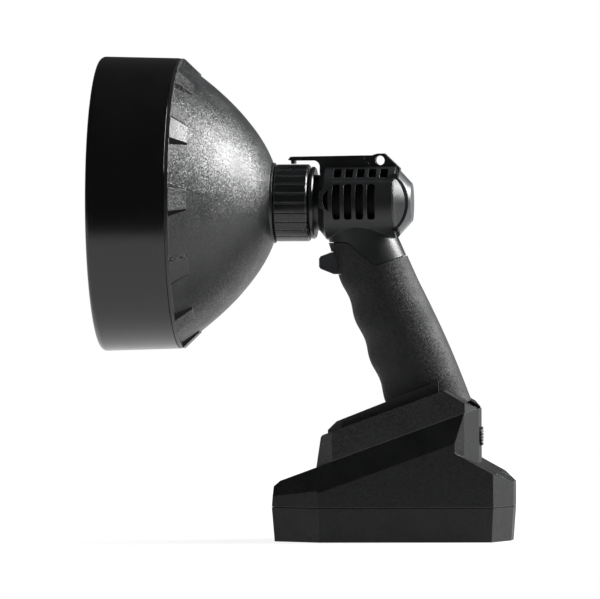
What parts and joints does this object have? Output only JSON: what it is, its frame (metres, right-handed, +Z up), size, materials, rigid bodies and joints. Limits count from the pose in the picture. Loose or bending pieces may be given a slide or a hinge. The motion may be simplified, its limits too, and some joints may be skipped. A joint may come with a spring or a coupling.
{
  "type": "handheld searchlight",
  "caption": "Cordless handheld searchlight: large round lamp head with a focus collar and push-on clear cover, pistol grip with trigger, and a slide-on battery base that it stands on.",
  "frame": {"origin": "middle of the battery base's flat underside, on the surface it stands on", "axes": "+Z up; -X towards the lens, where the beam goes; +Y across the lamp"},
  "size_m": [0.2522, 0.1798, 0.2959],
  "materials": {
    "housing_plastic": "fine moulded texture, black",
    "reflector_metal": "polished and coated, mirror bright",
    "seal_rubber": "soft matt black",
    "lens_glass": "clear toughened glass",
    "clamp_plastic": "smooth black",
    "cover_plastic": "semi-gloss black",
    "pane_plastic": "clear polycarbonate",
    "sleeve_metal": "black anodised, turned",
    "oring_rubber": "greased black",
    "collar_plastic": "satin black",
    "stop_ring_plastic": "satin black",
    "bulb_tube_metal": "plain turned",
    "bulb_ceramic": "unglazed off-white",
    "bulb_glass": "clear quartz",
    "filament_wire": "coiled tungsten wire",
    "bulb_lead_insulation": "white heat-proof sleeving",
    "shell_plastic": "fine moulded texture, black",
    "screw_steel": "zinc plated",
    "grip_rubber": "soft matt black",
    "spine_plastic": "satin black",
    "cap_plastic": "smooth silver-grey",
    "cap_lug_plastic": "satin black",
    "liner_metal": "heat-proof black coat",
    "terminal_ceramic": "unglazed off-white",
    "lead_insulation": "smooth plastic sleeving",
    "trigger_plastic": "satin black",
    "switch_plastic": "smooth dark grey",
    "plunger_plastic": "smooth red",
    "spring_steel": "bright wire",
    "shoe_plastic": "fine moulded texture, black",
    "contact_brass": "tinned spring strip",
    "case_plastic": "fine moulded texture, black",
    "cell_can": "shrink-wrapped cans",
    "strap_nickel": "plated strip",
    "board_laminate": "lacquered green",
    "button_plastic": "ribbed satin black"
  },
  "bodies": {
    "handle": {"body_shell_near": "shell_plastic", "body_shell_far": "shell_plastic", "grip_sleeve": "grip_rubber", "shell_screws": "screw_steel", "detent_arm": "spine_plastic", "lanyard_ear": "spine_plastic", "rear_cap": "cap_plastic", "cap_seal": "seal_rubber", "cap_lugs": "cap_lug_plastic", "vent_liner": "liner_metal", "neck_sleeve": "sleeve_metal", "neck_oring": "oring_rubber", "collar_stop_ring": "stop_ring_plastic", "bulb_tube": "bulb_tube_metal", "bulb_base": "bulb_ceramic", "bulb_glass": "bulb_glass", "bulb_filament": "filament_wire", "bulb_leads": "bulb_lead_insulation", "terminal_block": "terminal_ceramic", "lamp_leads": "lead_insulation", "supply_leads": "lead_insulation", "switch_body": "switch_plastic", "switch_plunger": "plunger_plastic", "foot_tier": "shell_plastic", "shoe": "shoe_plastic", "shoe_screws": "screw_steel", "shoe_contacts": "contact_brass"},
    "head": {"lamp_housing": "housing_plastic", "reflector": "reflector_metal", "lens_seal": "seal_rubber", "front_lens": "lens_glass", "lens_clamp_ring": "clamp_plastic"},
    "lens_cover": {"rim_cover": "cover_plastic", "cover_pane": "pane_plastic"},
    "collar": {"focus_collar": "collar_plastic"},
    "trigger": {"trigger": "trigger_plastic", "trigger_spring": "spring_steel"},
    "battery": {"battery_upper_case": "case_plastic", "battery_lower_case": "case_plastic", "battery_cells": "cell_can", "cell_straps": "strap_nickel", "protection_board": "board_laminate", "pack_leads": "lead_insulation", "battery_contacts": "contact_brass", "case_screws": "screw_steel"},
    "button": {"release_button": "button_plastic", "button_spring": "spring_steel"}
  },
  "joints": [
    {"name": "focus_turn", "type": "hinge", "parent": "handle", "child": "collar", "pos_m": [-0.06125, 0, 0.206], "axis": [1, 0, 0], "range_deg": [0, 240]},
    {"name": "head_slide", "type": "slide", "parent": "handle", "child": "head", "axis": [-1, 0, 0], "range_m": [0, 0.006]},
    {"name": "cover_pull", "type": "slide", "parent": "head", "child": "lens_cover", "axis": [-1, 0, 0], "range_m": [0, 0.055]},
    {"name": "trigger_pull", "type": "slide", "parent": "handle", "child": "trigger", "axis": [1, 0, 0], "range_m": [0, 0.004], "stiffness_N_per_m": 600, "springref_m": -0.003},
    {"name": "battery_slide", "type": "slide", "parent": "handle", "child": "battery", "axis": [0.9409, 0, 0.3387], "range_m": [0, 0.095]},
    {"name": "release_press", "type": "slide", "parent": "battery", "child": "button", "axis": [-1, 0, 0], "range_m": [0, 0.0015], "stiffness_N_per_m": 900, "springref_m": -0.002}
  ],
  "couplings": [
    {"joint": "focus_turn", "follows": "head_slide", "rad_per_m": 698.13}
  ]
}
